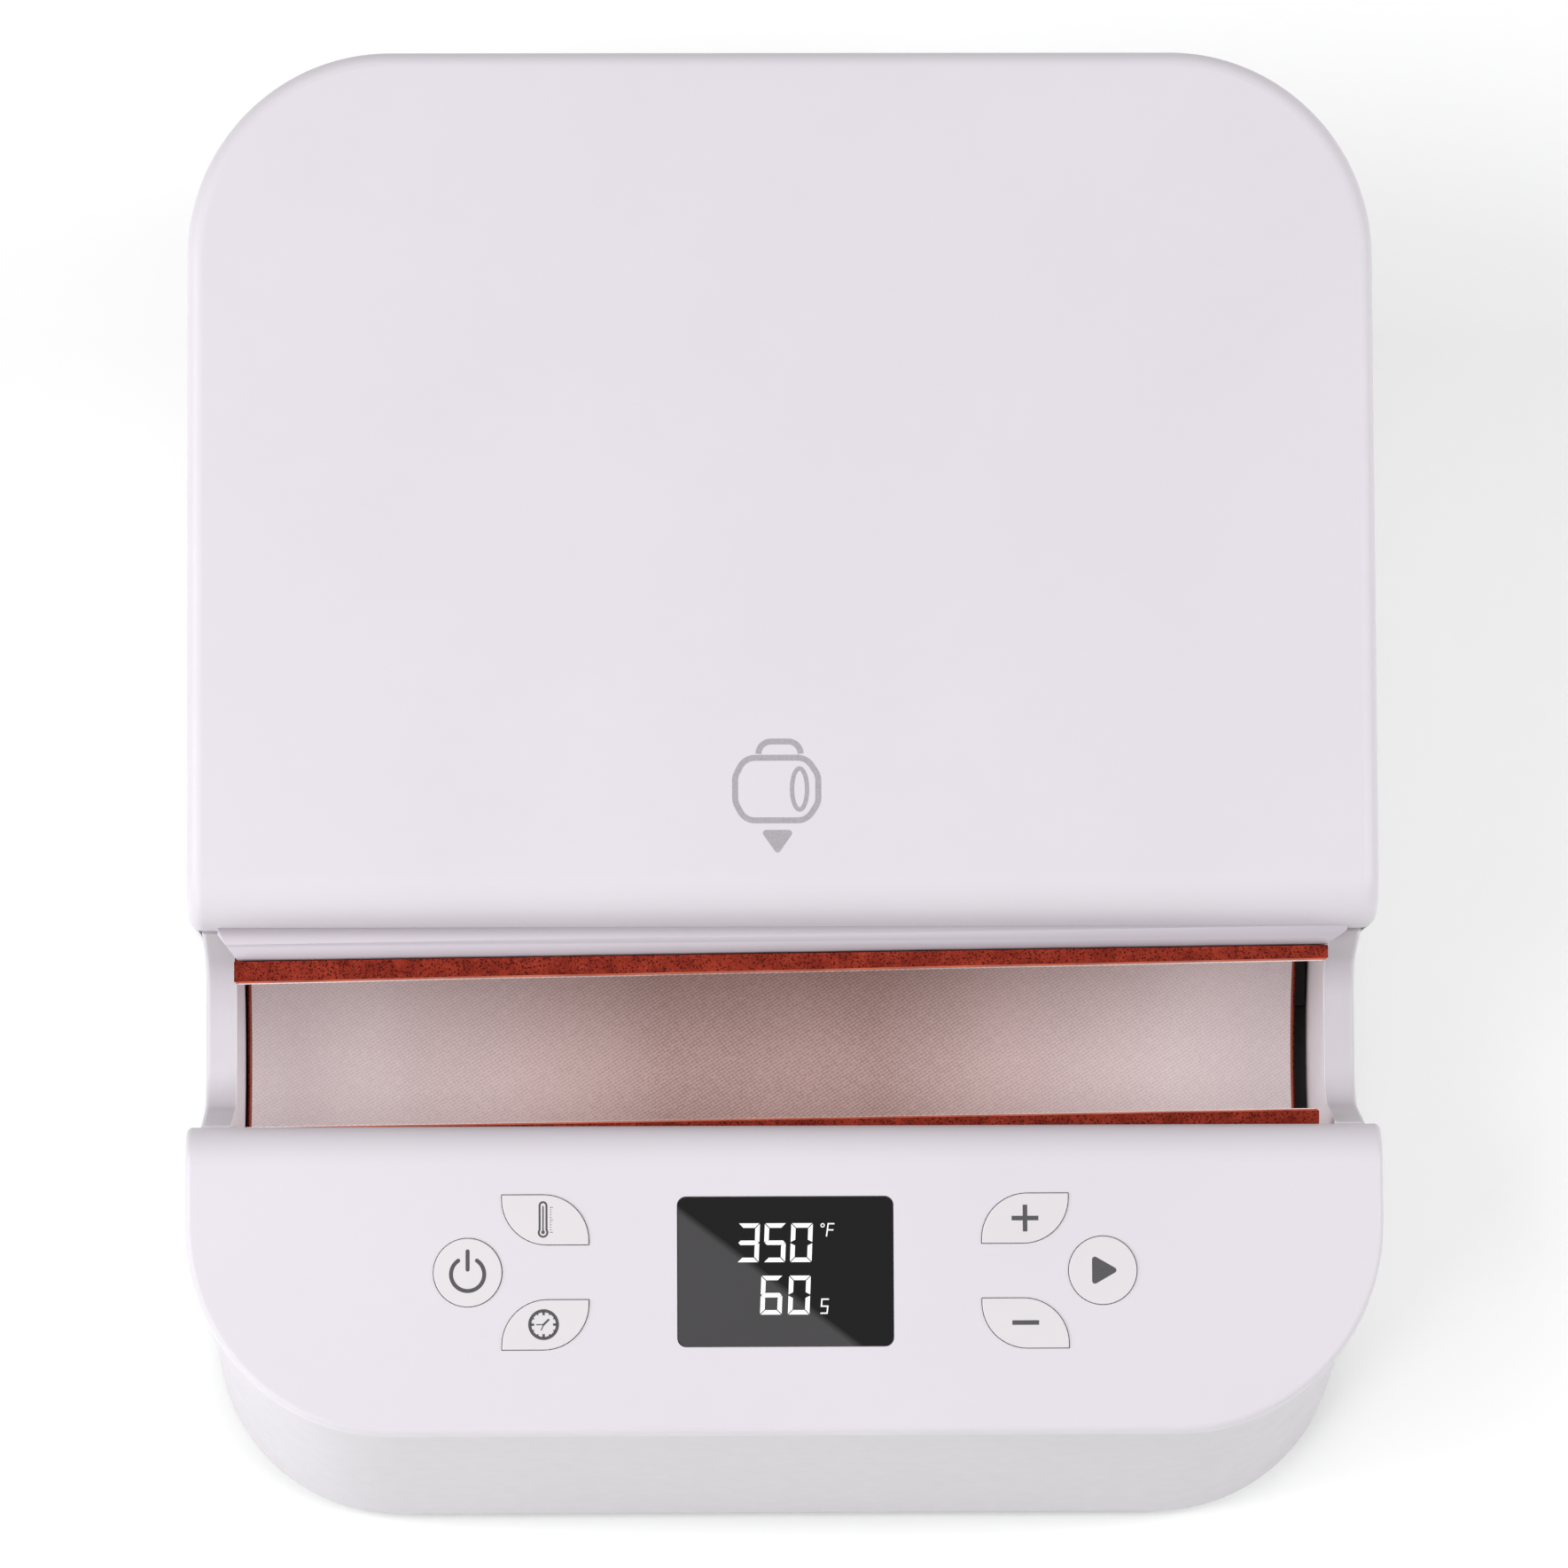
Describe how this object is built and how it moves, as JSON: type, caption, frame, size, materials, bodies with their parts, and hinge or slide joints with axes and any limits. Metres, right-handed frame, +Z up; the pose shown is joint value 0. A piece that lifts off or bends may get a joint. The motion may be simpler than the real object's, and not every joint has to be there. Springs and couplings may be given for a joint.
{
  "type": "tumbler heat press",
  "caption": "Sloped-top bench press whose hood slides back to open a heated pad that wraps a straight cup, with buttons and a display on its front panel.",
  "frame": {"origin": "on the table, under the middle of the covers' outline", "axes": "+X to the right seen from the control panel, +Y to the back, +Z up"},
  "size_m": [0.3, 0.3425, 0.1878],
  "materials": {
    "cover_white": "satin moulded",
    "base_white": "satin moulded",
    "button_white": "satin moulded",
    "plate_grey": "fine texture",
    "lens_black": "polished",
    "pad_fabric": "fine plain weave, coated",
    "heater_red": "silicone rubber, smooth",
    "foam_red": "silicone foam, cut cells",
    "zinc_steel": "zinc plated",
    "bracket_steel": "powder coat",
    "ground_steel": "ground",
    "nut_brass": "turned",
    "bush_plastic": "natural",
    "board_green": "solder mask",
    "board_black": "moulded",
    "foot_rubber": "moulded"
  },
  "bodies": {
    "base": {"back_rod_brackets": "bracket_steel", "back_screw_bearing": "ground_steel", "base_shell": "base_white", "board_screws": "zinc_steel", "bottom_plate": "plate_grey", "bottom_screws": "zinc_steel", "buzzer": "board_black", "clamp_screws": "zinc_steel", "control_board": "board_green", "control_cover": "cover_white", "display_lens": "lens_black", "display_module": "board_black", "drive_bracket": "bracket_steel", "fabric_face": "pad_fabric", "feet": "foot_rubber", "filter_capacitor": "board_black", "foam_liner": "foam_red", "foot_screws": "zinc_steel", "front_clamp_bar": "zinc_steel", "front_cradle": "zinc_steel", "front_rod_brackets": "bracket_steel", "front_screw_bearing": "ground_steel", "front_screw_block": "bracket_steel", "heater_mat": "heater_red", "heater_relay": "board_black", "inlet": "board_black", "inlet_pins": "nut_brass", "inlet_screws": "zinc_steel", "left_end_cheek": "base_white", "left_guide_rod": "ground_steel", "motor": "bracket_steel", "open_switch": "board_black", "power_board": "board_green", "power_board_screws": "zinc_steel", "right_end_cheek": "base_white", "right_guide_rod": "ground_steel", "shut_switch": "board_black", "tact_switches": "board_black", "temperature_sensor": "ground_steel", "thermal_cutout": "ground_steel", "transformer": "board_black"},
    "hood_carriage": {"hood": "cover_white", "pad_retainer": "base_white", "rear_cradle": "zinc_steel", "carriage": "bracket_steel", "carriage_screws": "zinc_steel", "left_bushings": "bush_plastic", "right_bushings": "bush_plastic", "screw_nut": "nut_brass"},
    "screw_rotor": {"lead_screw": "ground_steel", "screw_gear": "bush_plastic"},
    "motor_rotor": {"motor_shaft": "ground_steel", "motor_pinion": "nut_brass"},
    "minus_key": {"minus_button": "button_white"},
    "plus_key": {"plus_button": "button_white"},
    "power_key": {"power_button": "button_white"},
    "start_key": {"start_button": "button_white"},
    "temperature_key": {"temperature_button": "button_white"},
    "timer_key": {"timer_button": "button_white"}
  },
  "joints": [
    {"name": "hood_slide", "type": "slide", "parent": "base", "child": "hood_carriage", "axis": [0, 0.9781, 0.2079], "range_m": [0, 0.058], "deforming": ["fabric_face", "heater_mat", "foam_liner"]},
    {"name": "screw_turn", "type": "hinge", "parent": "base", "child": "screw_rotor", "pos_m": [0, 0.10051, 0.11241], "axis": [0, 0.9781, 0.2079], "range_deg": [-5, 2615]},
    {"name": "motor_turn", "type": "hinge", "parent": "base", "child": "motor_rotor", "pos_m": [0.034, 0.10051, 0.11241], "axis": [0, 0.9781, 0.2079], "range_deg": [-7260, 5]},
    {"name": "minus_press", "type": "slide", "parent": "base", "child": "minus_key", "axis": [0, 0.2079, -0.9781], "range_m": [0, 0.0007], "stiffness_N_per_m": 600, "springref_m": -0.0004},
    {"name": "plus_press", "type": "slide", "parent": "base", "child": "plus_key", "axis": [0, 0.2079, -0.9781], "range_m": [0, 0.0007], "stiffness_N_per_m": 600, "springref_m": -0.0004},
    {"name": "power_press", "type": "slide", "parent": "base", "child": "power_key", "axis": [0, 0.2079, -0.9781], "range_m": [0, 0.0007], "stiffness_N_per_m": 600, "springref_m": -0.0004},
    {"name": "start_press", "type": "slide", "parent": "base", "child": "start_key", "axis": [0, 0.2079, -0.9781], "range_m": [0, 0.0007], "stiffness_N_per_m": 600, "springref_m": -0.0004},
    {"name": "temperature_press", "type": "slide", "parent": "base", "child": "temperature_key", "axis": [0, 0.2079, -0.9781], "range_m": [0, 0.0007], "stiffness_N_per_m": 600, "springref_m": -0.0004},
    {"name": "timer_press", "type": "slide", "parent": "base", "child": "timer_key", "axis": [0, 0.2079, -0.9781], "range_m": [0, 0.0007], "stiffness_N_per_m": 600, "springref_m": -0.0004}
  ],
  "couplings": [
    {"joint": "screw_turn", "follows": "hood_slide", "rad_per_m": 785.4},
    {"joint": "motor_turn", "follows": "hood_slide", "rad_per_m": -2181.7}
  ]
}
